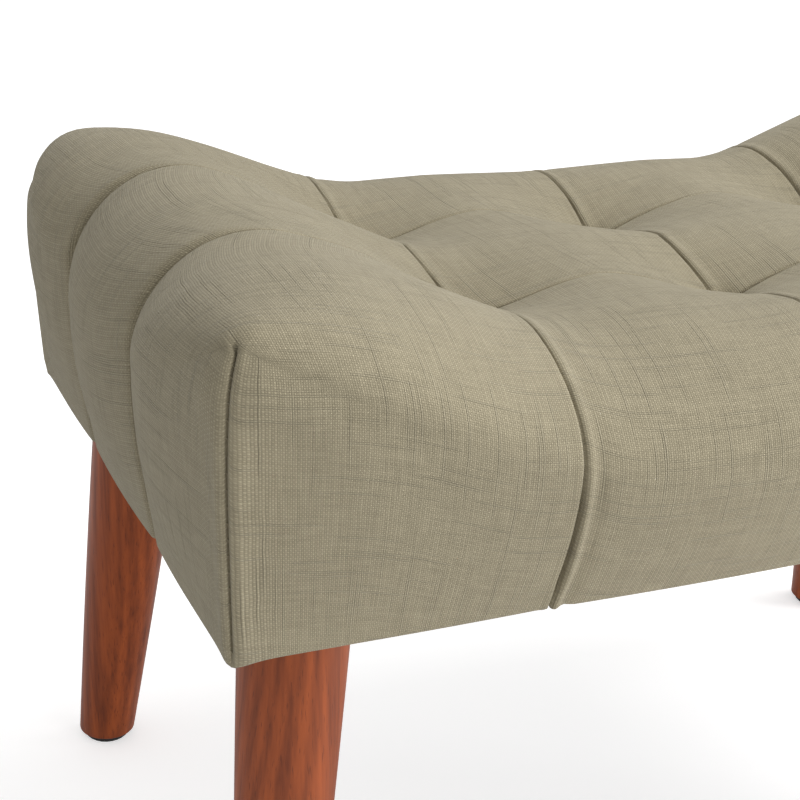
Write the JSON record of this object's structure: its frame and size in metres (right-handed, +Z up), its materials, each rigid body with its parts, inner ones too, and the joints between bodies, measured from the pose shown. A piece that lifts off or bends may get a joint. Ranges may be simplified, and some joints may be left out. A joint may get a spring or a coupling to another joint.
{
  "type": "pouf",
  "caption": "Tufted pouf with a saddle-shaped seat: linen cover pleated over foam on a timber frame, raised at both ends, on splayed tapered turned wooden legs.",
  "frame": {"origin": "on the floor under the middle of the seat, midway between the four feet", "axes": "+X along the seat towards its right end, +Y towards its back, so the front faces -Y, +Z up"},
  "size_m": [0.758, 0.454, 0.4689],
  "materials": {
    "linen": "matte slubbed plain weave",
    "foam": "open-cell foam",
    "pine": "planed",
    "plywood": "sawn",
    "leg_wood": "stained and satin lacquered",
    "zinc_steel": "zinc plated",
    "black_plastic": "moulded",
    "dust_cloth": "non-woven",
    "twine": "waxed cotton"
  },
  "bodies": {
    "root": {"fabric_cover": "linen", "seat_foam": "foam", "end_foam_left": "foam", "end_foam_right": "foam", "seat_deck": "plywood", "rail_front": "pine", "rail_back": "pine", "rail_left": "pine", "rail_right": "pine", "cross_batten_1": "pine", "cross_batten_2": "pine", "corner_block_front_left": "pine", "corner_block_front_right": "pine", "corner_block_back_left": "pine", "corner_block_back_right": "pine", "leg_front_left": "leg_wood", "leg_front_right": "leg_wood", "leg_back_left": "leg_wood", "leg_back_right": "leg_wood", "leg_bolt_front_left": "zinc_steel", "leg_bolt_front_right": "zinc_steel", "leg_bolt_back_left": "zinc_steel", "leg_bolt_back_right": "zinc_steel", "tee_nut_front_left": "zinc_steel", "tee_nut_front_right": "zinc_steel", "tee_nut_back_left": "zinc_steel", "tee_nut_back_right": "zinc_steel", "glide_front_left": "black_plastic", "glide_front_right": "black_plastic", "glide_back_left": "black_plastic", "glide_back_right": "black_plastic", "tuft_tie_1_1": "twine", "tuft_tie_1_2": "twine", "tuft_tie_1_3": "twine", "tuft_tie_2_1": "twine", "tuft_tie_2_2": "twine", "tuft_tie_2_3": "twine", "tie_washer_1_1": "black_plastic", "tie_washer_1_2": "black_plastic", "tie_washer_1_3": "black_plastic", "tie_washer_2_1": "black_plastic", "tie_washer_2_2": "black_plastic", "tie_washer_2_3": "black_plastic", "dust_cover": "dust_cloth"}
  },
  "joints": []
}
